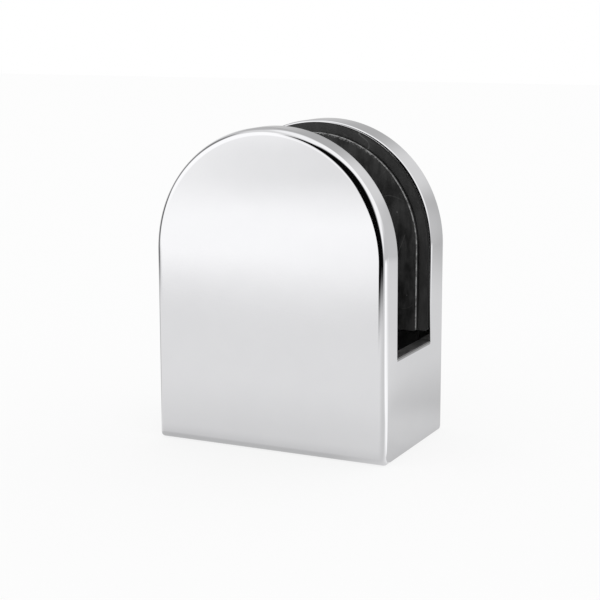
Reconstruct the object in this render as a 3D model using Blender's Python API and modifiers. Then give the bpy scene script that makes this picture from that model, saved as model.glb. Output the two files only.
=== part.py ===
"""Round-topped glass clamp.

One polished casting holds a pane of glass in an open slot. A rubber pad lies in a shallow
recess on each cheek, with a thin flange over the cheek's edge. The rear pad carries a steel
pressure plate in its back, and two set screws in the rear cheek push the plate, so that the
pad closes on the glass.

Units are metres. The clamp stands on its base at z = 0 and its front face looks along -Y.
"""

import math

import bmesh
import bpy
from mathutils import Matrix

# Casting
WIDTH = 0.040
HEIGHT = 0.0512
DEPTH = 0.025
SLOT_WIDTH = 0.0142
SLOT_SHIFT = 0.00065
SLOT_FLOOR = 0.0161
EDGE_ROUND = 0.0012
BASE_CORNER = 0.0005
LIP_ROUND = 0.0002
SIDE_WALL = 0.0022
BASE_THICKNESS = 0.0040
CAVITY_CORNER = 0.0015
FIXING_HOLE = 0.0085
HOLE_CHAMFER = 0.0004

# Rubber pads and the recesses that locate them
PAD_INSET = 0.0019
PAD_FOOT = 0.0017
PAD_CORNER = 0.0005
PAD_PROUD = 0.0017
PAD_EDGE = 0.0002
FLANGE_INSET = 0.0005
FLANGE_PROUD = 0.0007
RECESS_DEPTH = 0.0006

# Pressure plate, set into the back of the rear pad
PLATE_THICKNESS = 0.0008
PLATE_RIM = 0.0022
PLATE_CORNER = 0.0010

# Set screws
SCREW_DIAMETER = 0.0060
SCREW_SPACING_SHARE = 0.45
SCREW_SUNK = 0.00045
SCREW_CHAMFER = 0.0005
SOCKET_SIZE = 0.0030
SOCKET_SHARE = 0.5

# Clearances
SEAT_GAP = 0.0003
PAD_CLEARANCE = 0.0003
PLATE_CLEARANCE = 0.0003
THREAD_CLEARANCE = 0.0002

# Fineness of the round shapes
ARCH_STEPS = 60
CORNER_STEPS = 4
EDGE_STEPS = 4
LIP_STEPS = 2
TURN_STEPS = 40
OVERSHOOT = 0.004
WELD = 0.000001

# Planes across the clamp, from the front face to the back face
FRONT = -DEPTH / 2
BACK = DEPTH / 2
SLOT_MIDDLE = -SLOT_SHIFT
SLOT_FRONT = SLOT_MIDDLE - SLOT_WIDTH / 2
SLOT_BACK = SLOT_MIDDLE + SLOT_WIDTH / 2
FRONT_RECESS = SLOT_FRONT - RECESS_DEPTH
BACK_RECESS = SLOT_BACK + RECESS_DEPTH

# The pads share one outline, concentric with the arch
ARCH_HEIGHT = HEIGHT - WIDTH / 2
PAD_HALF_WIDTH = WIDTH / 2 - PAD_INSET
PAD_BOTTOM = SLOT_FLOOR + PAD_FOOT
PAD_TOP = HEIGHT - PAD_INSET
FLANGE_HALF_WIDTH = WIDTH / 2 - FLANGE_INSET

# The set screws stand at the pads' middle height, and their spacing follows the width
SCREW_HEIGHT = (PAD_BOTTOM + PAD_TOP) / 2
SCREW_SPACING = SCREW_SPACING_SHARE * WIDTH
SCREW_LENGTH = BACK - SCREW_SUNK - BACK_RECESS
SOCKET_DEPTH = SOCKET_SHARE * SCREW_LENGTH

REAR_PAD_FACE = SLOT_BACK - PAD_PROUD
REAR_PAD_BACK = BACK_RECESS - SEAT_GAP
PLATE_FACE = REAR_PAD_BACK - PLATE_THICKNESS


def clear_scene():
    """Remove the scene's objects."""
    for item in list(bpy.data.objects):
        bpy.data.objects.remove(item, do_unlink=True)


def new_collection(name):
    """Add a collection to the scene."""
    collection = bpy.data.collections.new(name)
    bpy.context.scene.collection.children.link(collection)
    return collection


def make_material(name, colour, roughness, metallic):
    """A plain Principled material."""
    material = bpy.data.materials.new(name)
    material.use_nodes = True
    shader = material.node_tree.nodes["Principled BSDF"]
    shader.inputs["Base Color"].default_value = (*colour, 1.0)
    shader.inputs["Roughness"].default_value = roughness
    shader.inputs["Metallic"].default_value = metallic
    material.diffuse_color = (*colour, 1.0)
    return material


def arc(centre_x, centre_z, radius, start, end, steps):
    """Points on an arc, both ends included, angles in degrees from +X."""
    points = []
    for step in range(steps + 1):
        angle = math.radians(start + (end - start) * step / steps)
        points.append((centre_x + radius * math.cos(angle), centre_z + radius * math.sin(angle)))
    return points


def arch_outline(half_width, bottom, corner):
    """Straight sides on a flat foot, with round corners if asked, under a half circle."""
    right = [(half_width, bottom)]
    if corner:
        right = arc(half_width - corner, bottom + corner, corner, -90, 0, CORNER_STEPS)
    left = [(-x, z) for x, z in reversed(right)]
    return right + arc(0, ARCH_HEIGHT, half_width, 0, 180, ARCH_STEPS) + left


def slot_outline():
    """The open space between the cheeks: the slot, and the cavity in the base below it."""
    reach = WIDTH / 2 + OVERSHOOT
    wall_outer = WIDTH / 2 - LIP_ROUND
    cavity = WIDTH / 2 - SIDE_WALL
    wall_inner = cavity + LIP_ROUND
    lip = SLOT_FLOOR - LIP_ROUND
    floor = BASE_THICKNESS + CAVITY_CORNER
    right = [(reach, HEIGHT + OVERSHOOT), (reach, lip)]
    right += arc(wall_outer, lip, LIP_ROUND, 0, 90, LIP_STEPS)
    right += arc(wall_inner, lip, LIP_ROUND, 90, 180, LIP_STEPS)
    right += arc(cavity - CAVITY_CORNER, floor, CAVITY_CORNER, 0, -90, CORNER_STEPS)
    left = [(-x, z) for x, z in reversed(right)]
    return right + left


def plate_from_outline(name, outline, y_front, y_back):
    """An upright plate: the outline, in X and Z, as a flat curve with thickness along Y."""
    curve = bpy.data.curves.new(name, "CURVE")
    curve.dimensions = "2D"
    curve.fill_mode = "BOTH"
    curve.extrude = (y_back - y_front) / 2
    spline = curve.splines.new("POLY")
    spline.points.add(len(outline) - 1)
    for point, (x, z) in zip(spline.points, outline):
        point.co = (x, z, 0, 1)
    spline.use_cyclic_u = True
    flat = bpy.data.objects.new(name + "_outline", curve)
    bpy.context.scene.collection.objects.link(flat)
    flat.rotation_euler = (math.pi / 2, 0, 0)
    flat.location = (0, (y_front + y_back) / 2, 0)
    solid = frozen_copy(flat, name)
    weld_and_flatten(solid)
    return solid


def frozen_copy(source, name):
    """Replace an object by a plain mesh of its evaluated shape, in world position."""
    bpy.context.view_layer.update()
    evaluated = source.evaluated_get(bpy.context.evaluated_depsgraph_get())
    mesh = bpy.data.meshes.new_from_object(evaluated)
    mesh.transform(source.matrix_world)
    mesh.name = name
    bpy.data.objects.remove(source, do_unlink=True)
    solid = bpy.data.objects.new(name, mesh)
    bpy.context.scene.collection.objects.link(solid)
    return solid


def weld_and_flatten(solid):
    """Close the seams and merge the faces that lie in one plane."""
    shape = bmesh.new()
    shape.from_mesh(solid.data)
    bmesh.ops.remove_doubles(shape, verts=shape.verts, dist=WELD)
    bmesh.ops.dissolve_degenerate(shape, dist=WELD, edges=shape.edges)
    bmesh.ops.dissolve_limit(shape, angle_limit=math.radians(0.1), verts=shape.verts, edges=shape.edges)
    bmesh.ops.recalc_face_normals(shape, faces=shape.faces)
    shape.to_mesh(solid.data)
    shape.free()


def round_edges(solid, radius, steps, chosen):
    """Round every sharp edge whose two ends satisfy the test."""
    shape = bmesh.new()
    shape.from_mesh(solid.data)
    edges = []
    for edge in shape.edges:
        if len(edge.link_faces) != 2 or not all(chosen(vert.co) for vert in edge.verts):
            continue
        if edge.calc_face_angle_signed() > math.radians(30):
            edges.append(edge)
    bmesh.ops.bevel(shape, geom=edges, offset=radius, segments=steps, profile=0.5, affect="EDGES")
    shape.to_mesh(solid.data)
    shape.free()


def on_plane(y):
    """Test for a point in the plane y."""
    return lambda point: abs(point.y - y) < WELD


def turned(name, profile, steps):
    """A turned solid: a profile of (radius, height) points from top to bottom, around Z."""
    mesh = bpy.data.meshes.new(name + "_profile")
    edges = [(index, index + 1) for index in range(len(profile) - 1)]
    mesh.from_pydata([(radius, 0, height) for radius, height in profile], edges, [])
    solid = bpy.data.objects.new(name, mesh)
    bpy.context.scene.collection.objects.link(solid)
    screw = solid.modifiers.new("turning", "SCREW")
    screw.steps = steps
    screw.render_steps = steps
    screw.use_merge_vertices = True
    screw.merge_threshold = WELD
    return solid


def bore_cutter(name, radius, top, bottom, chamfer, mouth):
    """A round cutter along its own Z, wider by a chamfer where it leaves the metal at mouth."""
    flare = chamfer + abs(mouth - top)
    profile = [
        (0, top),
        (radius + flare, top),
        (radius, mouth - chamfer),
        (radius, bottom),
        (0, bottom),
    ]
    return turned(name, profile, TURN_STEPS)


def cut(solid, cutter, cutters):
    """Subtract a cutter and put it away in the cutters' collection."""
    boolean = solid.modifiers.new(cutter.name, "BOOLEAN")
    boolean.operation = "DIFFERENCE"
    boolean.solver = "EXACT"
    boolean.object = cutter
    cutter.hide_render = True
    cutter.display_type = "WIRE"
    move_to(cutter, cutters)


def join(solid, other):
    """Unite a solid with another one, as one plain mesh."""
    boolean = solid.modifiers.new(other.name, "BOOLEAN")
    boolean.operation = "UNION"
    boolean.solver = "EXACT"
    boolean.object = other
    joined = frozen_copy(solid, solid.name)
    bpy.data.objects.remove(other, do_unlink=True)
    weld_and_flatten(joined)
    return joined


def move_to(item, collection):
    """Leave all other collections for this one."""
    for other in list(item.users_collection):
        other.objects.unlink(item)
    collection.objects.link(item)


def set_origin(solid, x, y, z):
    """Move an object's origin and leave its mesh where it is."""
    solid.data.transform(Matrix.Translation((-x, -y, -z)))
    solid.location = (x, y, z)


def finish(solid, material, collection):
    """Give the part its material, its smooth shading and its collection."""
    solid.data.materials.clear()
    solid.data.materials.append(material)
    solid.data.shade_smooth()
    solid.data.set_sharp_from_angle(angle=math.radians(35))
    move_to(solid, collection)


def screw_positions():
    """Names and X of the two set screws."""
    return {"left": -SCREW_SPACING / 2, "right": SCREW_SPACING / 2}


def make_clamp_body(material, parts, cutters):
    """The casting: rounded outline, slot, base cavity, pad recesses and screw holes."""
    body = plate_from_outline("clamp_blank", arch_outline(WIDTH / 2, 0, 0), FRONT, BACK)
    body = round_blank(body)
    cut(body, plate_from_outline("slot_cutter", slot_outline(), SLOT_FRONT, SLOT_BACK), cutters)
    body = frozen_copy(body, "clamp_body")
    for plane in (SLOT_FRONT, SLOT_BACK):
        round_edges(body, LIP_ROUND, LIP_STEPS, on_mouth(plane))

    recess = arch_outline(PAD_HALF_WIDTH + PAD_CLEARANCE, PAD_BOTTOM - PAD_CLEARANCE, PAD_CORNER)
    cut(body, plate_from_outline("recess_cutter", recess, FRONT_RECESS, BACK_RECESS), cutters)
    for side, x in screw_positions().items():
        cut(body, make_screw_hole_cutter(side, x), cutters)
    cut(body, make_fixing_hole_cutter(), cutters)
    finish(body, material, parts)
    return body


def round_blank(blank):
    """Round the blank's sharp edges, the two along its bottom corners by less."""
    shape = bmesh.new()
    shape.from_mesh(blank.data)
    weight = shape.edges.layers.float.new("bevel_weight_edge")
    for edge in shape.edges:
        if edge.calc_face_angle_signed() > math.radians(30):
            across = abs(edge.verts[0].co.y - edge.verts[1].co.y) > WELD
            edge[weight] = BASE_CORNER / EDGE_ROUND if across else 1.0
    shape.to_mesh(blank.data)
    shape.free()
    rounding = blank.modifiers.new("rounding", "BEVEL")
    rounding.width = EDGE_ROUND
    rounding.segments = EDGE_STEPS
    rounding.limit_method = "WEIGHT"
    rounding.use_clamp_overlap = False
    return frozen_copy(blank, blank.name)


def on_mouth(plane):
    """Test for a point where the slot's wall in this plane meets the outside of the casting."""
    def test(point):
        if abs(point.y - plane) > WELD or point.z < SLOT_FLOOR - LIP_ROUND - WELD:
            return False
        outer = math.hypot(point.x, max(point.z - ARCH_HEIGHT, 0))
        return abs(outer - WIDTH / 2) < 10 * WELD
    return test


def make_screw_hole_cutter(side, x):
    """Cutter for a set screw's hole, from the recess out through the back face."""
    radius = SCREW_DIAMETER / 2 + THREAD_CLEARANCE
    wall = BACK - BACK_RECESS
    cutter = bore_cutter(
        "screw_hole_cutter_" + side, radius, wall + OVERSHOOT, -OVERSHOOT, HOLE_CHAMFER, wall
    )
    cutter.rotation_euler = (-math.pi / 2, 0, 0)
    cutter.location = (x, BACK_RECESS, SCREW_HEIGHT)
    return cutter


def make_fixing_hole_cutter():
    """Cutter for the hole in the base that a fixing screw passes down through."""
    cutter = bore_cutter(
        "fixing_hole_cutter", FIXING_HOLE / 2, OVERSHOOT, -BASE_THICKNESS - OVERSHOOT, HOLE_CHAMFER, 0
    )
    cutter.rotation_euler = (math.pi, 0, 0)
    cutter.location = (0, SLOT_MIDDLE, 0)
    return cutter


def make_pad(name, seat, cheek, inward):
    """A pad from its seat in the recess, with a thin flange over the cheek's edge.

    inward is 1 or -1, the way along Y from the cheek into the slot.
    """
    face = cheek + inward * PAD_PROUD
    outline = arch_outline(PAD_HALF_WIDTH, PAD_BOTTOM, PAD_CORNER)
    pad = plate_from_outline(name, outline, *sorted((seat, face)))
    round_edges(pad, PAD_EDGE, LIP_STEPS, on_plane(face))
    outline = arch_outline(FLANGE_HALF_WIDTH, PAD_BOTTOM, PAD_CORNER)
    planes = sorted((cheek + inward * SEAT_GAP, cheek + inward * FLANGE_PROUD))
    return join(pad, plate_from_outline(name + "_flange", outline, *planes))


def make_front_pad(material, parts):
    """The fixed rubber pad in the front cheek's recess."""
    pad = make_pad("front_pad", FRONT_RECESS + SEAT_GAP, SLOT_FRONT, 1)
    finish(pad, material, parts)
    return pad


def make_rear_pad(material, parts, cutters):
    """The moving rubber pad, hollowed at the back for the pressure plate."""
    pad = make_pad("rear_pad", REAR_PAD_BACK, SLOT_BACK, -1)
    pocket = plate_outline(PLATE_CLEARANCE)
    floor = PLATE_FACE - PLATE_CLEARANCE
    cutter = plate_from_outline("plate_pocket_cutter", pocket, floor, REAR_PAD_BACK + OVERSHOOT)
    cut(pad, cutter, cutters)
    pad = frozen_copy(pad, "rear_pad")
    set_origin(pad, 0, REAR_PAD_FACE, SCREW_HEIGHT)
    finish(pad, material, parts)
    return pad


def plate_outline(margin):
    """The pressure plate's outline, wider by a margin all round."""
    half_width = PAD_HALF_WIDTH - PLATE_RIM + margin
    return arch_outline(half_width, PAD_BOTTOM + PLATE_RIM - margin, PLATE_CORNER)


def make_pressure_plate(material, parts):
    """The steel plate that spreads the set screws' force over the rear pad."""
    plate = plate_from_outline("pressure_plate", plate_outline(0), PLATE_FACE, REAR_PAD_BACK)
    set_origin(plate, 0, REAR_PAD_BACK, SCREW_HEIGHT)
    finish(plate, material, parts)
    return plate


def make_set_screw(side, x, material, parts, cutters):
    """A set screw with a hexagon socket, its tip level with the floor of the recess."""
    radius = SCREW_DIAMETER / 2
    profile = [
        (0, SCREW_LENGTH),
        (radius - SCREW_CHAMFER, SCREW_LENGTH),
        (radius, SCREW_LENGTH - SCREW_CHAMFER),
        (radius, SCREW_CHAMFER),
        (radius - SCREW_CHAMFER, 0),
        (0, 0),
    ]
    blank = turned("set_screw_blank_" + side, profile, TURN_STEPS)
    socket = make_socket_cutter(side)
    cut(blank, socket, cutters)
    screw = frozen_copy(blank, "set_screw_" + side)
    screw.rotation_euler = (-math.pi / 2, 0, 0)
    screw.location = (x, BACK_RECESS, SCREW_HEIGHT)
    finish(screw, material, parts)
    return screw


def make_socket_cutter(side):
    """Six-sided cutter for a set screw's socket, at the top of its length."""
    depth = SOCKET_DEPTH + OVERSHOOT
    bpy.ops.mesh.primitive_cylinder_add(
        vertices=6,
        radius=SOCKET_SIZE / math.sqrt(3),
        depth=depth,
        location=(0, 0, SCREW_LENGTH - SOCKET_DEPTH + depth / 2),
    )
    cutter = bpy.context.object
    cutter.name = "socket_cutter_" + side
    return cutter


def keep_place(child, parent):
    """Parent an object without moving it."""
    bpy.context.view_layer.update()
    child.parent = parent
    child.matrix_parent_inverse = parent.matrix_world.inverted()


def main():
    """Build the clamp."""
    clear_scene()
    parts = new_collection("glass_clamp")
    cutters = new_collection("cutters")
    chrome = make_material("polished_chrome", (0.80, 0.81, 0.82), 0.04, 1.0)
    rubber = make_material("black_rubber", (0.022, 0.022, 0.024), 0.55, 0.0)
    zinc = make_material("zinc_plated_steel", (0.52, 0.53, 0.54), 0.35, 1.0)
    steel = make_material("screw_steel", (0.45, 0.45, 0.46), 0.25, 1.0)

    make_clamp_body(chrome, parts, cutters)
    make_front_pad(rubber, parts)

    press = bpy.data.objects.new("press_travel", None)
    press.empty_display_size = PAD_HALF_WIDTH / 2
    press.location = (0, REAR_PAD_FACE, SCREW_HEIGHT)
    parts.objects.link(press)
    keep_place(make_rear_pad(rubber, parts, cutters), press)
    keep_place(make_pressure_plate(zinc, parts), press)
    for side, x in screw_positions().items():
        keep_place(make_set_screw(side, x, steel, parts, cutters), press)
    bpy.context.view_layer.update()


main()
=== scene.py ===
import math

import bmesh
import bpy
from mathutils import Matrix, Vector


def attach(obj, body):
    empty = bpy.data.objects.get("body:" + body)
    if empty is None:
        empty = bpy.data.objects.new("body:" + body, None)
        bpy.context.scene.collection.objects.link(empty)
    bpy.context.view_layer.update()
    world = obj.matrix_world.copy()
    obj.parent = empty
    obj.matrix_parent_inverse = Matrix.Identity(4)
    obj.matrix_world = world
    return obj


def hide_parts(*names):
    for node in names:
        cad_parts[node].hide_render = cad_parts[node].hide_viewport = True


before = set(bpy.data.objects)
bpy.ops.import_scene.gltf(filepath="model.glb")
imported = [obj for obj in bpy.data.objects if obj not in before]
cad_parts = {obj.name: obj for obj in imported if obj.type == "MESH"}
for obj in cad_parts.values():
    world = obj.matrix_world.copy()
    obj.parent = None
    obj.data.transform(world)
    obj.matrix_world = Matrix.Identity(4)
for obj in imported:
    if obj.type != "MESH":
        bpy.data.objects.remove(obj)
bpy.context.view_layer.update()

# Sizes of the clamp, in metres, the same as in the solids
WIDTH = 0.040
HEIGHT = 0.0512
DEPTH = 0.025
SLOT_SHIFT = 0.00065
SLOT_WIDTH = 0.0142
SLOT_FLOOR = 0.0161
EDGE_ROUND = 0.0012
BASE_CORNER = 0.0005
LIP_ROUND = 0.0002
REAR_LIP_ROUND = 0.0004
SIDE_WALL = 0.0022
BASE_THICKNESS = 0.0040
CAVITY_CORNER = 0.0015
FIXING_HOLE = 0.0085
HOLE_CHAMFER = 0.0004
PAD_INSET = 0.0019
PAD_FOOT = 0.0017
PAD_CORNER = 0.0005
PAD_PROUD = 0.0017
PAD_EDGE = 0.00014
FLANGE_INSET = 0.00035
FLANGE_PROUD = 0.0007
FLANGE_EDGE = 0.00004
FLANGE_GAP = 0.00008
RECESS_DEPTH = 0.0006
PLATE_THICKNESS = 0.0008
PLATE_RIM = 0.0022
PLATE_CORNER = 0.0010
SCREW_DIAMETER = 0.0060
SCREW_SPACING = 0.0180
SCREW_SUNK = 0.00045
THREAD_PITCH = 0.0010
THREAD_DEPTH = 0.0006
SCREW_CHAMFER = 0.00065
SOCKET_SIZE = 0.0030
SOCKET_DEPTH = 0.0025
SOCKET_MOUTH = 1.04
SEAT_GAP = 0.0003
PAD_CLEARANCE = 0.0003
PLATE_CLEARANCE = 0.0003
THREAD_CLEARANCE = 0.0002

FRONT = -DEPTH / 2
BACK = DEPTH / 2
SLOT_MIDDLE = -SLOT_SHIFT
SLOT_FRONT = SLOT_MIDDLE - SLOT_WIDTH / 2
SLOT_BACK = SLOT_MIDDLE + SLOT_WIDTH / 2
FRONT_RECESS = SLOT_FRONT - RECESS_DEPTH
BACK_RECESS = SLOT_BACK + RECESS_DEPTH
ARCH_HEIGHT = HEIGHT - WIDTH / 2
PAD_HALF_WIDTH = WIDTH / 2 - PAD_INSET
PAD_BOTTOM = SLOT_FLOOR + PAD_FOOT
PAD_TOP = HEIGHT - PAD_INSET
FLANGE_HALF_WIDTH = WIDTH / 2 - FLANGE_INSET
SCREW_HEIGHT = (PAD_BOTTOM + PAD_TOP) / 2
REAR_PAD_FACE = SLOT_BACK - PAD_PROUD
REAR_PAD_BACK = BACK_RECESS - SEAT_GAP
SCREW_SIZES = {
    "Length": BACK - SCREW_SUNK - BACK_RECESS, "Outer Radius": SCREW_DIAMETER / 2,
    "Pitch": THREAD_PITCH, "Thread Depth": THREAD_DEPTH, "End Chamfer": SCREW_CHAMFER,
}

# Fineness of the polished shapes
ARCH_STEPS = 192
CORNER_STEPS = 10
ROUND_STEPS = 12
LIP_STEPS = 5
TURN_STEPS = 96
OVERSHOOT = 0.004
WELD = 0.0000005
IN_ONE_PLANE = math.radians(0.02)
SHARP = math.radians(30)
LEVEL = 0.99


# Shapes

def arc(centre_x, centre_z, radius, start, end, steps):
    """Points on an arc, both ends included, angles in degrees from +X."""
    angles = [math.radians(start + (end - start) * step / steps) for step in range(steps + 1)]
    return [(centre_x + radius * math.cos(a), centre_z + radius * math.sin(a)) for a in angles]


def arch_outline(half_width, bottom, corner):
    """Straight sides on a flat foot, with round corners if asked, under a half circle."""
    right = [(half_width, bottom)]
    if corner:
        right = arc(half_width - corner, bottom + corner, corner, -90, 0, CORNER_STEPS)
    left = [(-x, z) for x, z in reversed(right)]
    return right + arc(0, ARCH_HEIGHT, half_width, 0, 180, ARCH_STEPS) + left


def slot_outline():
    """The slot and the cavity in the base below it, seen from the front."""
    reach = WIDTH / 2 + OVERSHOOT
    cavity = WIDTH / 2 - SIDE_WALL
    lip = SLOT_FLOOR - LIP_ROUND
    right = [(reach, HEIGHT + OVERSHOOT), (reach, lip)]
    right += arc(WIDTH / 2 - LIP_ROUND, lip, LIP_ROUND, 0, 90, LIP_STEPS)
    right += arc(cavity + LIP_ROUND, lip, LIP_ROUND, 90, 180, LIP_STEPS)
    floor = BASE_THICKNESS + CAVITY_CORNER
    right += arc(cavity - CAVITY_CORNER, floor, CAVITY_CORNER, 0, -90, CORNER_STEPS)
    return right + [(-x, z) for x, z in reversed(right)]


def add_piece(name, mesh):
    """Put a mesh into the scene."""
    piece = bpy.data.objects.new(name, mesh)
    bpy.context.scene.collection.objects.link(piece)
    return piece


def settle(piece, name):
    """Turn a piece with its modifiers into a plain mesh with its place in its mesh."""
    bpy.context.view_layer.update()
    evaluated = piece.evaluated_get(bpy.context.evaluated_depsgraph_get())
    mesh = bpy.data.meshes.new_from_object(evaluated)
    mesh.transform(piece.matrix_world)
    mesh.name = name
    bpy.data.objects.remove(piece, do_unlink=True)
    return add_piece(name, mesh)


def reshape(piece, work):
    """Run mesh work on a piece."""
    shape = bmesh.new()
    shape.from_mesh(piece.data)
    work(shape)
    shape.to_mesh(piece.data)
    shape.free()


def weld_and_flatten(shape):
    """Close the seams and merge the faces that lie in one plane."""
    bmesh.ops.remove_doubles(shape, verts=shape.verts, dist=WELD)
    bmesh.ops.dissolve_degenerate(shape, dist=WELD, edges=shape.edges)
    bmesh.ops.dissolve_limit(shape, angle_limit=IN_ONE_PLANE, verts=shape.verts, edges=shape.edges)
    bmesh.ops.recalc_face_normals(shape, faces=shape.faces)


def upright_plate(name, outline, y_front, y_back):
    """A plate with the given outline, in X and Z, between two planes across Y."""
    count = len(outline)
    mesh = bpy.data.meshes.new(name)
    sides = [(i, (i + 1) % count, count + (i + 1) % count, count + i) for i in range(count)]
    ends = [tuple(range(count)), tuple(range(2 * count - 1, count - 1, -1))]
    mesh.from_pydata([(x, y, z) for y in (y_front, y_back) for x, z in outline], [], sides + ends)
    plate = add_piece(name, mesh)
    reshape(plate, weld_and_flatten)
    return plate


def round_edges(piece, radius, steps, chosen):
    """Round every sharp outer edge whose two ends pass the test."""
    def work(shape):
        edges = []
        for edge in shape.edges:
            if len(edge.link_faces) == 2 and all(chosen(vert.co) for vert in edge.verts):
                if edge.calc_face_angle_signed() > SHARP:
                    edges.append(edge)
        bmesh.ops.bevel(shape, geom=edges, offset=radius, segments=steps, profile=0.5, affect="EDGES")
    reshape(piece, work)


def in_plane(y):
    """Test for a point in the plane y."""
    return lambda point: abs(point.y - y) < 2 * WELD


def on_mouth(plane):
    """Test for a point where the slot's wall in this plane meets the outside."""
    def test(point):
        if abs(point.y - plane) > 2 * WELD or point.z < SLOT_FLOOR - LIP_ROUND - WELD:
            return False
        outer = math.hypot(point.x, max(point.z - ARCH_HEIGHT, 0))
        return abs(outer - WIDTH / 2) < 20 * WELD
    return test


def turned(name, profile):
    """A turned shape: a profile of (radius, height) points, around Z."""
    mesh = bpy.data.meshes.new(name)
    edges = [(index, index + 1) for index in range(len(profile) - 1)]
    mesh.from_pydata([(radius, 0, height) for radius, height in profile], edges, [])
    shape = add_piece(name, mesh)
    lathe = shape.modifiers.new("lathe", "SCREW")
    lathe.steps = lathe.render_steps = TURN_STEPS
    lathe.use_merge_vertices = True
    lathe.merge_threshold = WELD
    return shape


def cut(piece, other, operation="DIFFERENCE"):
    """Take another shape out of a piece, or with UNION add it."""
    boolean = piece.modifiers.new(other.name, "BOOLEAN")
    boolean.operation = operation
    boolean.solver = "EXACT"
    boolean.object = other
    done = settle(piece, piece.name.split(".")[0])
    bpy.data.objects.remove(other, do_unlink=True)
    return done


def smooth_off(piece, sharp):
    """Smooth shading up to a sharp angle in degrees, flat faces kept flat."""
    piece.data.shade_smooth()
    piece.data.set_sharp_from_angle(angle=math.radians(sharp))
    weighted = piece.modifiers.new("true_flats", "WEIGHTED_NORMAL")
    weighted.mode = "FACE_AREA"
    weighted.weight = 100
    weighted.keep_sharp = True
    return settle(piece, piece.name)


# Finishes

class Reading:
    """A node's output, so that sums of readings are written as sums."""

    def __init__(self, tree, socket):
        self.tree = tree
        self.socket = socket

    def reckon(self, operation, *others):
        """One Math node that starts from this reading."""
        node = self.tree.nodes.new("ShaderNodeMath")
        node.operation = operation
        for slot, value in zip(node.inputs, (self, *others)):
            feed(slot, value)
        return Reading(self.tree, node.outputs[0])

    def __add__(self, other):
        return self.reckon("ADD", other)

    def __sub__(self, other):
        return self.reckon("SUBTRACT", other)

    def __mul__(self, other):
        return self.reckon("MULTIPLY", other)

    def __truediv__(self, other):
        return self.reckon("DIVIDE", other)

    def __pow__(self, other):
        return self.reckon("POWER", other)

    def __rsub__(self, other):
        return self.reckon("MULTIPLY_ADD", -1.0, other)

    __radd__ = __add__
    __rmul__ = __mul__

    def towards(self, goal, share):
        """This reading moved towards a goal by a share."""
        return self + (goal - self) * share

    def size(self):
        """This reading without its sign."""
        return self.reckon("ABSOLUTE")

    def at_least(self, limit):
        """This reading, or the limit where that is larger."""
        return self.reckon("MAXIMUM", limit)

    def at_most(self, limit):
        """This reading, or the limit where that is smaller."""
        return self.reckon("MINIMUM", limit)


def feed(slot, value):
    """Link a reading to a socket, or set the socket's own value."""
    if isinstance(value, Reading):
        value.tree.links.new(value.socket, slot)
    else:
        slot.default_value = value


def find_socket(sockets, key):
    """A socket by number, or by name or identifier among those in use."""
    if isinstance(key, int):
        return sockets[key]
    return next(s for s in sockets if s.enabled and key in (s.identifier, s.name))


class Finish:
    """The nodes of one finish."""

    def __init__(self, tree):
        self.tree = tree
        tree.nodes.clear()

    def node(self, kind, settings=None, values=None, output=0):
        """Add a node: its settings first, then its sockets."""
        node = self.tree.nodes.new(kind)
        for name, setting in (settings or {}).items():
            setattr(node, name, setting)
        for name, value in (values or {}).items():
            feed(find_socket(node.inputs, name), value)
        return Reading(self.tree, find_socket(node.outputs, output)) if node.outputs else None

    def place(self, stretch=(1, 1, 1)):
        """Object coordinates, in metres, stretched along the axes."""
        point = self.node("ShaderNodeTexCoord", output="Object")
        if stretch == (1, 1, 1):
            return point
        return self.node("ShaderNodeMapping", {}, {"Vector": point, "Scale": stretch})

    def axes(self, point):
        """A point's X, Y and Z."""
        split = self.tree.nodes.new("ShaderNodeSeparateXYZ")
        feed(split.inputs[0], point)
        return [Reading(self.tree, out) for out in split.outputs]

    def noise(self, point, scale, detail=2.0, roughness=0.5):
        """Cloudy noise from 0 to 1; scale is in patches per metre."""
        values = {"Vector": point, "Scale": scale, "Detail": detail, "Roughness": roughness}
        return self.node("ShaderNodeTexNoise", {}, values, "Fac")

    def step(self, value, low, high):
        """0 below low, 1 above high, smooth between; low may be the larger."""
        if low > high:
            return 1 - self.step(value, high, low)
        kind = {"interpolation_type": "SMOOTHSTEP", "clamp": True}
        return self.node("ShaderNodeMapRange", kind, {"Value": value, "From Min": low, "From Max": high})

    def blend(self, share, first, second):
        """A colour between two colours."""
        values = {"Factor_Float": share, "A_Color": first, "B_Color": second}
        return self.node("ShaderNodeMix", {"data_type": "RGBA"}, values, "Result_Color")

    def bump(self, height, depth):
        """A normal from a height that is multiplied by a depth in metres."""
        values = {"Height": height, "Distance": depth, "Strength": 1.0}
        return self.node("ShaderNodeBump", {}, values, "Normal")

    def surface(self, values):
        """The Principled shader and the material's output."""
        shader = self.node("ShaderNodeBsdfPrincipled", {}, values)
        self.node("ShaderNodeOutputMaterial", {}, {"Surface": shader})

    def metal(self, colour, roughness, grain, depth):
        """Bare or plated metal, its grain multiplied by a depth in metres."""
        self.surface({
            "Base Color": colour, "Metallic": 1.0, "Roughness": roughness,
            "Normal": self.bump(grain, depth),
        })


def new_finish(name):
    """A material and its nodes."""
    material = bpy.data.materials.new(name)
    material.use_nodes = True
    return material, Finish(material.node_tree)


def grey(level, blue=1.0):
    """An even grey, a little bluer if asked."""
    return (level, level, min(level * blue, 1), 1)


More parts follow.
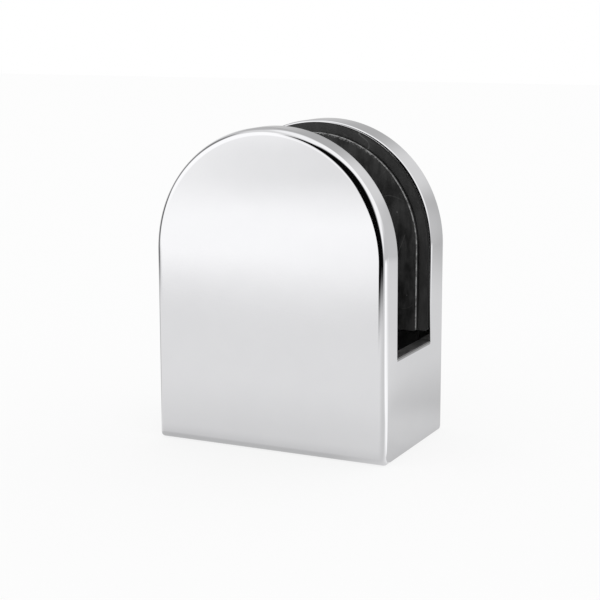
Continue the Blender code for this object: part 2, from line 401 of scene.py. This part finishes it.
def make_polished_chrome():
    """Mirror chrome: faint unevenness and hairlines from the wheel, and a darker colour in a thin strip
    just under the ledges.
    """
    material, work = new_finish("polished_chrome")
    point = work.place()
    swell = work.noise(point, 110, 1.0)
    peel = work.noise(point, 900, 1.0)
    haze = work.noise(point, 260, 3.0)
    hairline = work.step(work.noise(work.place((60, 900, 2600)), 1, 2.0, 0.7), 0.60, 0.78)
    _, y, z = work.axes(point)
    below, beside = SLOT_FLOOR - z, (y - SLOT_MIDDLE).size() - SLOT_WIDTH / 2
    # In dull only the colour changes, not the roughness: a thin strip just under the ledges, beside the
    # slot, is made darker
    dull = work.step(below, 0.00060, 0.00044) * work.step(below, -0.0001, 0.0)
    dull = dull * work.step(beside, 0.0001, -0.0003)
    colour = work.blend(haze, grey(0.800, 1.02), grey(0.826, 1.016))
    colour = work.blend(dull * 0.75, colour, grey(0.17))
    roughness = 0.022 + haze * 0.018 + hairline * 0.03
    work.metal(colour, roughness, swell * 4.0 + peel * 0.10, 0.000002)
    return material


def make_slot_chrome():
    """Plating on the slot's walls: less polished, with a cloudy grain."""
    material, work = new_finish("slot_chrome")
    point = work.place()
    grain = work.noise(point, 5200, 2.0)
    cloud = work.noise(point, 500, 3.0)
    work.metal(work.blend(cloud, grey(0.56), grey(0.74)), 0.05 + cloud * 0.05, grain, 0.0000008)
    return material


def make_ledge_chrome():
    """The ledges at the slot's floor, left satin by the plating."""
    material, work = new_finish("ledge_chrome")
    point = work.place()
    grain = work.noise(point, 4200, 2.0)
    cloud = work.noise(point, 600, 3.0)
    work.metal(work.blend(cloud, grey(0.52), grey(0.68)), 0.26 + cloud * 0.14, grain, 0.000004)
    return material


def make_cast_chrome():
    """The rough cast wall of the cavity, dull where the plating hardly reached."""
    material, work = new_finish("cast_chrome")
    point = work.place()
    lumps = work.noise(point, 900, 4.0, 0.6)
    work.metal(work.blend(lumps, grey(0.13), grey(0.24)), 0.30 + lumps * 0.25, lumps, 0.00008)
    return material


def make_ground_chrome():
    """The flat underside, ground before plating: straight fine lines."""
    material, work = new_finish("ground_chrome")
    lines = work.noise(work.place((180, 7000, 180)), 1, 3.0, 0.65)
    work.metal(work.blend(lines, grey(0.58), grey(0.74)), 0.20 + lines * 0.22, lines, 0.000006)
    return material


def make_rubber():
    """Matt moulded rubber: mottled and a little dusty, with a painted highlight along its sharp edge,
    abraded grey in places, painted light on its upper part and flange, and painted shade in its groove
    and on the flange's outer wall.
    """
    material, work = new_finish("black_rubber")
    point = work.place()
    x, y, z = work.axes(point)
    above = (z - ARCH_HEIGHT).at_least(0.0)
    radius = (x * x + above * above) ** 0.5
    past_edge, past_rim = radius - PAD_HALF_WIDTH, radius - FLANGE_HALF_WIDTH
    depth = (y - SLOT_MIDDLE).size() - (REAR_PAD_FACE - SLOT_MIDDLE)
    cloud = work.noise(point, 260, 4.0, 0.6)

    # A painted highlight along the sharp edge of the face, lighter still in patches where the edge is
    # also abraded, and painted wider near the top
    edge = work.step(past_edge, -0.00020, -0.00009) * work.step(depth, 0.00016, 0.00006)
    edge_highlight_and_wear = edge * work.step(work.noise(point, 1300, 3.0, 0.7), 0.38, 0.60)
    # Painted highlight, wider along the edge near the top
    painted_top_highlight = work.step(past_edge, -0.00050, -0.00022) * work.step(depth, 0.0002, 0.0001)
    painted_top_highlight = painted_top_highlight * work.step(work.noise(point, 2600, 3.0, 0.7), 0.46, 0.60)
    painted_top_highlight = painted_top_highlight * work.step(z, 0.0435, 0.0465)

    # Dust and a few scuffs
    speck = work.node(
        "ShaderNodeTexVoronoi", {"feature": "F1"}, {"Vector": point, "Scale": 420.0}, "Distance")
    dust = work.step(speck, 0.055, 0.030) * work.step(work.noise(point, 500), 0.50, 0.62)
    line = (work.noise(point, 120, 1.0) - 0.5).size()
    scuff = work.step(line, 0.0045, 0.0015) * work.step(work.noise(point, 210), 0.56, 0.66)

    # Painted shade in the groove at the foot of the face, painted light on the flange beyond it, and
    # painted shade on the flange's outer wall
    foot = work.step(depth, 0.0002, 0.0006) * work.step(depth, 0.00101, 0.00094)
    foot = foot * work.step(past_edge, -0.0001, 0.0)
    # Painted light: the flange is given a lighter colour than the face
    flange = work.step(past_edge, 0.0, 0.0002)
    # Painted shade: the flange's outer wall is made nearly black
    painted_rim_shade = work.step(past_rim, -0.00007, -0.00003)

    streaks = work.noise(work.place((900, 900, 190)), 1, 3.0, 0.6)
    # Random mottling, with painted light making the upper part lighter
    mottle_and_painted_light = work.step(cloud + streaks, 0.80, 1.22) * 0.7 + work.step(z, 0.026, 0.040) * 0.3
    colour = work.blend(mottle_and_painted_light.towards(1.0, flange * 0.5), grey(0.012), grey(0.062))
    # Painted shade on the flange's outer wall and in the groove, a painted highlight with some wear on
    # the edge, then dust and scuffs
    for share, shade in (
            (painted_rim_shade, 0.003), (foot, 0.007), (edge * 0.2 + edge_highlight_and_wear * 0.8, 0.38),
            (painted_top_highlight * 0.7, 0.34), (dust * 0.8, 0.30), (scuff * 0.45, 0.20)):
        colour = work.blend(share, colour, grey(shade))
    work.surface({
        "Base Color": colour, "Roughness": 0.40 + cloud * 0.16 - edge * 0.10 + painted_rim_shade * 0.3,
        "Specular IOR Level": 0.42, "Normal": work.bump(work.noise(point, 7000, 3.0, 0.6), 0.000012),
    })
    return material


def make_zinc():
    """Bright zinc plating on rolled steel."""
    material, work = new_finish("zinc_plated_steel")
    point = work.place()
    cloud = work.noise(point, 500, 3.0)
    rolled = work.noise(work.place((90, 90, 5200)), 1, 2.0)
    colour = work.blend(cloud, grey(0.46, 1.02), grey(0.60, 1.03))
    work.metal(colour, 0.26 + rolled * 0.16, rolled, 0.000004)
    return material


def make_screw_steel():
    """Plain steel with fine turning marks round the screw's own axis."""
    material, work = new_finish("screw_steel")
    point = work.place()
    marks = work.noise(work.place((500, 5200, 500)), 1, 2.0)
    cloud = work.noise(point, 700, 3.0)
    work.metal(work.blend(cloud, grey(0.34), grey(0.50, 1.01)), 0.22 + marks * 0.16, marks, 0.000004)
    return material


# Casting

def screw_places():
    """X of each set screw, by side."""
    return {"left": -SCREW_SPACING / 2, "right": SCREW_SPACING / 2}


def make_casting():
    """The polished casting with its slot, cavity, recesses and holes."""
    casting = round_blank(upright_plate("clamp_casting", arch_outline(WIDTH / 2, 0, 0), FRONT, BACK))
    casting = cut(casting, upright_plate("slot", slot_outline(), SLOT_FRONT, SLOT_BACK))
    recess = arch_outline(PAD_HALF_WIDTH + PAD_CLEARANCE, PAD_BOTTOM - PAD_CLEARANCE, PAD_CORNER)
    casting = cut(casting, upright_plate("recesses", recess, FRONT_RECESS, BACK_RECESS))
    for x in screw_places().values():
        bore = bore_shape("screw_hole", SCREW_DIAMETER / 2 + THREAD_CLEARANCE, BACK - BACK_RECESS)
        bore.rotation_euler = (-math.pi / 2, 0, 0)
        bore.location = (x, BACK_RECESS, SCREW_HEIGHT)
        casting = cut(casting, bore)
    bore = bore_shape("fixing_hole", FIXING_HOLE / 2, 0)
    bore.rotation_euler = (math.pi, 0, 0)
    bore.location = (0, SLOT_MIDDLE, 0)
    casting = cut(casting, bore)
    for plane, radius in ((SLOT_FRONT, LIP_ROUND), (SLOT_BACK, REAR_LIP_ROUND)):
        round_edges(casting, radius, LIP_STEPS, on_mouth(plane))
    casting = smooth_off(casting, sharp=30)
    finish_casting(casting)
    return casting


def round_blank(blank):
    """Round the blank's sharp edges, the two along its bottom corners by less."""
    def work(shape):
        weight = shape.edges.layers.float.new("bevel_weight_edge")
        for edge in shape.edges:
            if edge.calc_face_angle_signed() > SHARP:
                across = abs(edge.verts[0].co.y - edge.verts[1].co.y) > WELD
                edge[weight] = BASE_CORNER / EDGE_ROUND if across else 1.0
    reshape(blank, work)
    rounding = blank.modifiers.new("rounding", "BEVEL")
    rounding.width = EDGE_ROUND
    rounding.segments = ROUND_STEPS
    rounding.limit_method = "WEIGHT"
    rounding.use_clamp_overlap = False
    return settle(blank, blank.name)


def bore_shape(name, radius, mouth):
    """A round cutter along its own Z, wider where it leaves the metal at mouth."""
    flare = HOLE_CHAMFER + OVERSHOOT
    depth = mouth + BASE_THICKNESS + OVERSHOOT
    return turned(name, [
        (0, mouth + OVERSHOOT), (radius + flare, mouth + OVERSHOOT),
        (radius, mouth - HOLE_CHAMFER), (radius, mouth - depth), (0, mouth - depth),
    ])


def finish_casting(casting):
    """Give each face of the casting the finish of its place."""
    polished, walls, ledge, cast, ground = range(5)
    for material in (make_polished_chrome(), make_slot_chrome(), make_ledge_chrome(),
                     make_cast_chrome(), make_ground_chrome()):
        casting.data.materials.append(material)
    # The rounded lips lie beyond this and stay polished
    inner = WIDTH / 2 - REAR_LIP_ROUND * 0.97
    for face in casting.data.polygons:
        middle = face.center
        outer = math.hypot(middle.x, max(middle.z - ARCH_HEIGHT, 0))
        in_slot = FRONT_RECESS - WELD < middle.y < BACK_RECESS + WELD and outer < inner
        choice = polished
        if in_slot and middle.z < SLOT_FLOOR - LIP_ROUND - WELD:
            choice = cast if middle.z > WELD else ground
        elif SLOT_FRONT < middle.y < SLOT_BACK and LIP_ROUND > SLOT_FLOOR - middle.z > WELD:
            choice = cast
        elif in_slot:
            choice = ledge if face.normal.z > LEVEL and middle.z < SLOT_FLOOR + WELD else walls
        elif middle.z < WELD:
            choice = ground
        elif middle.y > BACK_RECESS and outer < WIDTH / 2 - EDGE_ROUND and middle.y < BACK - 20 * WELD:
            choice = walls
        face.material_index = choice


# Rubber pads

def make_pad(name, seat, cheek, inward):
    """A moulded pad with a sharp edge round its face and a thin flange over the cheek's edge."""
    face = cheek + inward * PAD_PROUD
    outline = arch_outline(PAD_HALF_WIDTH, PAD_BOTTOM, PAD_CORNER)
    pad = upright_plate(name, outline, *sorted((seat, face)))
    round_edges(pad, PAD_EDGE, LIP_STEPS, in_plane(face))
    under, top = cheek + inward * FLANGE_GAP, cheek + inward * FLANGE_PROUD
    outline = arch_outline(FLANGE_HALF_WIDTH, PAD_BOTTOM, PAD_CORNER)
    flange = upright_plate("flange", outline, *sorted((under, top)))
    round_edges(flange, FLANGE_EDGE, 2, in_plane(top))
    pad = cut(pad, flange, "UNION")
    reshape(pad, weld_and_flatten)
    if inward < 0:
        half_width = PAD_HALF_WIDTH - PLATE_RIM + PLATE_CLEARANCE
        bottom = PAD_BOTTOM + PLATE_RIM - PLATE_CLEARANCE
        floor = REAR_PAD_BACK - PLATE_THICKNESS - PLATE_CLEARANCE
        pocket = arch_outline(half_width, bottom, PLATE_CORNER)
        pad = cut(pad, upright_plate("pocket", pocket, floor, REAR_PAD_BACK + OVERSHOOT))
    return smooth_off(pad, sharp=40)


# Set screws

def thread_tree():
    """Geometry nodes for a screw's threaded shank along Z, open at both ends."""
    tree = bpy.data.node_groups.new("threaded_shank", "GeometryNodeTree")
    sockets = tree.interface
    sockets.new_socket("Geometry", in_out="INPUT", socket_type="NodeSocketGeometry")
    for name, size in SCREW_SIZES.items():
        socket = sockets.new_socket(name, in_out="INPUT", socket_type="NodeSocketFloat")
        socket.default_value = size
    for name, count in {"Steps Round": 72, "Steps Along": 140}.items():
        socket = sockets.new_socket(name, in_out="INPUT", socket_type="NodeSocketInt")
        socket.default_value = count
    sockets.new_socket("Material", in_out="INPUT", socket_type="NodeSocketMaterial")
    sockets.new_socket("Geometry", in_out="OUTPUT", socket_type="NodeSocketGeometry")
    work = Finish(tree)
    entry = tree.nodes.new("NodeGroupInput")
    given = {out.name: Reading(tree, out) for out in entry.outputs if out.name}
    sheet = work.node("GeometryNodeMeshGrid", {}, {
        "Size X": 1.0, "Size Y": 1.0,
        "Vertices X": given["Steps Round"], "Vertices Y": given["Steps Along"],
    }, "Mesh")
    x, y, _ = work.axes(work.node("GeometryNodeInputPosition"))
    turn = x + 0.5
    height = (y + 0.5) * given["Length"]
    phase = (height / given["Pitch"] + (8 - turn)).reckon("FRACT")
    wave = (phase * 2 - 1).size()
    flank = work.node("ShaderNodeClamp", {}, {"Value": wave.reckon("MULTIPLY_ADD", 1.34, -0.10)})
    thread = given["Outer Radius"] - flank * given["Thread Depth"]
    nearest_end = height.at_most(given["Length"] - height)
    radius = thread.at_most(given["Outer Radius"] - given["End Chamfer"] + nearest_end)
    angle = turn * (2 * math.pi)
    across, along = angle.reckon("COSINE") * radius, angle.reckon("SINE") * radius
    rolled = work.node("ShaderNodeCombineXYZ", {}, {"X": across, "Y": along, "Z": height})
    shank = work.node("GeometryNodeSetPosition", {}, {"Geometry": sheet, "Position": rolled})
    shank = work.node("GeometryNodeMergeByDistance", {}, {"Geometry": shank, "Distance": 2 * WELD})
    shank = work.node("GeometryNodeRealizeInstances", {}, {"Geometry": shank})
    shank = work.node("GeometryNodeSetMaterial", {}, {"Geometry": shank, "Material": given["Material"]})
    leave = tree.nodes.new("NodeGroupOutput")
    feed(leave.inputs[0], shank)
    return tree


def make_set_screw(side, x, tree, steel):
    """A threaded set screw with a hexagon socket, sunk in the back of the casting."""
    seed = add_piece("shank_" + side, bpy.data.meshes.new("shank_" + side))
    maker = seed.modifiers.new("thread", "NODES")
    maker.node_group = tree
    settings = {**SCREW_SIZES, "Material": steel}
    for item in tree.interface.items_tree:
        if item.in_out == "INPUT" and item.name in settings:
            maker[item.identifier] = settings[item.name]
    name = "set_screw_" + side + "_threaded"
    screw = settle(seed, name)
    screw.data.materials.clear()
    screw.data.materials.append(steel)

    def close_ends(shape):
        bmesh.ops.holes_fill(shape, edges=shape.edges, sides=0)
        bmesh.ops.recalc_face_normals(shape, faces=shape.faces)
    reshape(screw, close_ends)
    corner = SOCKET_SIZE / math.sqrt(3)
    back = SCREW_SIZES["Length"]
    bpy.ops.mesh.primitive_cylinder_add(
        vertices=6, radius=corner, depth=SOCKET_DEPTH * 2, location=(0, 0, back))
    screw = cut(screw, bpy.context.object)
    mouth = corner * SOCKET_MOUTH
    screw = cut(screw, turned("socket_mouth", [
        (0, back + mouth * 0.5), (mouth * 1.5, back + mouth * 0.5), (0, back - mouth)]))
    screw.name = name
    screw.data.transform(
        Matrix.Translation((x, BACK_RECESS, SCREW_HEIGHT)) @ Matrix.Rotation(-math.pi / 2, 4, "X"))
    return smooth_off(screw, sharp=32)


# Studio: bearings in degrees round from the front, positive to the right, and rises in degrees
# above level; brightness 1 is white

WALL, UPPER_WALL_GAIN = 0.62, 0.21
REAR_DIM, UPPER_REAR_GAIN = 0.17, 0.08
# Soft patches on the walls: bearing, rise, half width at the outer edge and of the full part, brightness
PATCHES = (
    (-155, 34, 34, 16, 0.47), (-136, 18, 16, 7, 0.95), (-92, 17, 31, 17, 0.24), (-88, -3, 17, 8, 0.12),
    (-82, 37, 15, 4, 0.22), (-122, 58, 28, 12, 0.56), (40, 80, 36, 26, 1.08),
)
SIDE_LAMP = 1.12
FRONT_LAMP = 1.20
FRONT_LAMP_MIDDLE = (-40, 13)
FRONT_LAMP_REACH = (46, 26)
DARK_END = 0.002
TABLE_REACH = 1.2
TABLE, TABLE_SHADOW, TABLE_FAR_SHADOW, TABLE_STREAK = 0.86, 0.57, 0.16, 1.17
TABLE_ENDS = (0.108, 0.196)
TABLE_WHITENED, TABLE_MIRRORED, TABLE_OWN_LIGHT = 0.80, 0.88, 0.10
PICTURE = 600
CAMERA_PLACE = (0.104601, -0.216019, 0.068451)
CAMERA_AIM = (0, 0, 0.0255)
CAMERA_ROLL = -0.102
CAMERA_LENS = 89.898
CAMERA_SHIFT = (-1.832, -19.339)


def bearing_of(x, y):
    """Degrees round from the front, positive to the right."""
    return x.reckon("ARCTAN2", 0 - y) * math.degrees(1)


def light_rays(work):
    """Which rays look at the studio: straight from the camera, or off metal and glass."""
    path = work.tree.nodes.new("ShaderNodeLightPath")
    camera, glossy, through = (Reading(work.tree, path.outputs[name]) for name in (
        "Is Camera Ray", "Is Glossy Ray", "Is Transmission Ray"))
    return camera, glossy + through


def apart(work, look, bearing, rise):
    """Degrees between the direction looked in and this one."""
    turn, tilt = math.radians(bearing), math.radians(rise)
    aim = (math.sin(turn) * math.cos(tilt), -math.cos(turn) * math.cos(tilt), math.sin(tilt))
    along = work.node("ShaderNodeVectorMath", {"operation": "DOT_PRODUCT"}, {0: look, 1: aim}, "Value")
    return along.reckon("ARCCOSINE") * math.degrees(1)


def walls(work, look, bearing, rise):
    """Brightness of the walls: lighter above, a little dimmer behind, with soft patches."""
    level = WALL + work.step(rise, 6, 16) * UPPER_WALL_GAIN
    rear = work.step(bearing, 156.5, 160) * work.step(bearing, 181, 168)
    level = level * (1 - rear * (REAR_DIM - work.step(rise, 10, 18) * UPPER_REAR_GAIN))
    for at_bearing, at_rise, begins, full, brightness in PATCHES:
        share = work.step(apart(work, look, at_bearing, at_rise), begins, full)
        level = level.towards(brightness, share)
    return level


def side_lamp(work, bearing, rise):
    """Where the long lamp on the right is: its lower edge climbs towards the back."""
    low = (bearing * 0.45 - 28.75).at_most(17.0) + work.step(bearing, 156, 166) * 9.5
    ends = work.step(bearing, 50, 56) * work.step(bearing, 180.5, 168)
    return work.step(rise - low, -5, 5) * ends


def front_lamp(work, bearing, rise):
    """Where the oval lamp on the front left is, and its brightness, less near its right edge."""
    (middle, height), (half_width, half_height) = FRONT_LAMP_MIDDLE, FRONT_LAMP_REACH
    pinch = work.step(bearing, -55, -85) * work.step(rise, 12, -2) * 0.34
    across, up = (bearing - middle) / half_width - pinch, (rise - height) / half_height
    dip = work.step((rise + 5.7).size(), 2.0, 0.3) * work.step(bearing, -35, -27) * 0.19
    edge = work.step(bearing, -25, -21) * work.step(rise, 1, 7) * 0.15
    low_edge = work.step(bearing, -30, -22) * work.step(rise, -8.3, -7.3) * work.step(rise, 4, -1)
    level = FRONT_LAMP - work.step(rise, 6, -2) * 0.05 - dip - edge - low_edge * 0.07
    return work.step(across * across + up * up, 1.35, 0.75), level


def dark_end(work, bearing, rise):
    """Where the unlit end of the room is, between the two lamps."""
    left = work.step(rise, -12, 9) * 12.5 - work.step(rise, 14, 31) * 15.5
    left = left + work.step(rise, 34, 64) * 29 - 21.5
    right = work.step(rise, -4, 58) * 46 + 48.5
    from_middle = bearing - 45
    top = 67.5 - from_middle * from_middle * 0.0045
    share = work.step((bearing - left) / (work.step(rise, -5, 22) * 7 + 1.2), -0.6, 1)
    share = share * work.step((right - bearing) / (work.step(rise, 0, 40) * 8 + 7), -1, 1)
    return share * work.step(top - rise, -7, 7)


def hang_studio():
    """White surroundings, in which metal sees walls, two soft lamps and a dark end of the room."""
    world = bpy.data.worlds.new("studio")
    bpy.context.scene.world = world
    world.use_nodes = True
    work = Finish(world.node_tree)
    look = work.node("ShaderNodeTexCoord", output="Generated")
    x, y, z = work.axes(look)
    bearing, rise = bearing_of(x, y), z.reckon("ARCSINE") * math.degrees(1)
    level = walls(work, look, bearing, rise)
    level = level.towards(SIDE_LAMP, side_lamp(work, bearing, rise))
    share, lamp = front_lamp(work, bearing, rise)
    level = level.towards(lamp, share)
    level = level.towards(DARK_END, dark_end(work, bearing, rise))
    camera, mirror = light_rays(work)
    shown = (1 - mirror + mirror * level).towards(1.0, camera)
    light = work.node("ShaderNodeBackground", {}, {"Color": grey(1.0), "Strength": shown})
    work.node("ShaderNodeOutputWorld", {}, {"Surface": light})


def table_light(work, x, y):
    """Painted light and shade on each place of the table, as metal sees it, and how far out that place
    counts as.
    """
    sideways, ahead = (x * 0.80).at_least(x * -0.5), y - (x + 0.08) * 0.12
    ahead = ahead - work.step(x, -0.10, -0.03) * work.step(x, 0.03, 0.0) * 0.020
    ahead = ahead * (1 - work.step(x, 0.03, 0.08) * work.step(y, 0.0, -0.03) * 0.12)
    far = (sideways * sideways + ahead * ahead) ** 0.5

    bearing = bearing_of(x - 0.012, y + 0.004)
    lit = TABLE - work.step(bearing, 0, 50) * 0.16 + work.step(bearing, 100, 125) * 0.035
    # Painted shade close behind the clamp, on its right
    painted_shade_behind = work.step(y, 0.010, 0.030) * work.step(x, 0.042, 0.026) * work.step(x, 0.0, 0.02)
    lit = lit * (1 - painted_shade_behind * 0.16)

    # The clamp's soft shadow to the left, and the table's dim end beyond it
    shadow = work.step(y - (x + 0.06).at_least(0.0) * 0.27, -0.028, 0.008) * work.step(x, 0.0, -0.020)
    lit = lit.towards(TABLE_SHADOW, shadow)
    lit = lit.towards(TABLE_FAR_SHADOW, work.step(x, -0.13, -0.21) * work.step(y, -0.10, -0.05))

    # The side lamp's streak of light to the right and behind
    streak = work.step(bearing_of((x - 0.024).at_least(0.0001), y + 0.010), 166, 150)
    streak = streak * work.step(y + 0.010 + (x - 0.045).at_least(0.0) * 0.45, -0.006, 0.004)
    far = far * (1 - streak * 0.4)
    bright = TABLE_STREAK - work.step(y, 0.0, 0.05) * 0.25 - work.step(y, 0.05, 0.09) * 0.13
    lit = lit.towards(bright, streak)

    # Shade close round the clamp's foot, less on its right
    beside = (x.size() - WIDTH / 2).at_least(0.0)
    before = (y.size() - DEPTH / 2).at_least(0.0)
    gap = (beside * beside + before * before) ** 0.5
    shade = work.step(gap, 0.003, 0.0) * 0.13 + work.step(gap, 0.009, 0.0) * 0.15
    shade = shade + work.step(gap, 0.045, 0.0) * 0.105
    return lit * (1 - shade * (1 - work.step(x, 0.010, 0.022) * 0.75)), far


def lay_floor():
    """A pale table top that ends softly, as metal sees it, a hand's width from the clamp."""
    mesh = bpy.data.meshes.new("floor")
    corners = [(x * TABLE_REACH, y * TABLE_REACH, 0) for x, y in ((-1, -1), (1, -1), (1, 1), (-1, 1))]
    mesh.from_pydata(corners, [], [(0, 1, 2, 3)])
    floor = add_piece("floor", mesh)
    material, work = new_finish("pale_table")
    x, y, _ = work.axes(work.place())
    camera, mirror = light_rays(work)
    lit, far = table_light(work, x, y)
    own = work.node("ShaderNodeBsdfDiffuse", {}, {"Color": grey(0.90)})
    # Metal sees the table as a glow carrying the painted light and shade from table_light; the emission
    # called lamp below is this glow, not a lamp
    glow = (lit - TABLE_OWN_LIGHT) / TABLE_MIRRORED
    lamp = work.node("ShaderNodeEmission", {}, {"Color": grey(1.0), "Strength": glow})
    white = work.node("ShaderNodeEmission", {}, {"Color": grey(1.0), "Strength": 1.0})
    table = work.node("ShaderNodeMixShader", {}, {0: camera * TABLE_WHITENED, 1: own, 2: white})
    table = work.node("ShaderNodeMixShader", {}, {0: mirror * TABLE_MIRRORED, 1: table, 2: lamp})
    gone = work.node("ShaderNodeBsdfTransparent")
    ended = work.step(far, *TABLE_ENDS) * mirror
    table = work.node("ShaderNodeMixShader", {}, {0: ended, 1: table, 2: gone})
    work.node("ShaderNodeOutputMaterial", {}, {"Surface": table})
    floor.data.materials.append(material)


def set_camera():
    """The camera where the photograph was taken from."""
    data = bpy.data.cameras.new("camera")
    camera = bpy.data.objects.new("camera", data)
    bpy.context.scene.collection.objects.link(camera)
    place = Vector(CAMERA_PLACE)
    turn = (Vector(CAMERA_AIM) - place).to_track_quat("-Z", "Y").to_matrix().to_4x4()
    roll = Matrix.Rotation(math.radians(CAMERA_ROLL), 4, "Z")
    camera.matrix_world = Matrix.Translation(place) @ turn @ roll
    data.sensor_width = 36
    data.lens = CAMERA_LENS
    data.shift_x, data.shift_y = (shift / PICTURE for shift in CAMERA_SHIFT)
    data.clip_start = 0.005
    data.clip_end = 20
    bpy.context.scene.camera = camera


hang_studio()
lay_floor()
set_camera()
bpy.context.scene.view_settings.view_transform = "Standard"

rubber = make_rubber()
zinc = make_zinc()
steel = make_screw_steel()

casting = make_casting()
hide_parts("clamp_body")
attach(casting, "casting")

front_pad = make_pad("front_pad_rubber", FRONT_RECESS + SEAT_GAP, SLOT_FRONT, 1)
rear_pad = make_pad("rear_pad_rubber", REAR_PAD_BACK, SLOT_BACK, -1)
for pad, node, body in ((front_pad, "front_pad", "casting"), (rear_pad, "rear_pad", "pressure_unit")):
    pad.data.materials.clear()
    pad.data.materials.append(rubber)
    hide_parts(node)
    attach(pad, body)

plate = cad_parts["pressure_plate"]
plate.data.materials.clear()
plate.data.materials.append(zinc)

threads = thread_tree()
for side, x in screw_places().items():
    screw = make_set_screw(side, x, threads, steel)
    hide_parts("set_screw_" + side)
    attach(screw, side + "_screw")
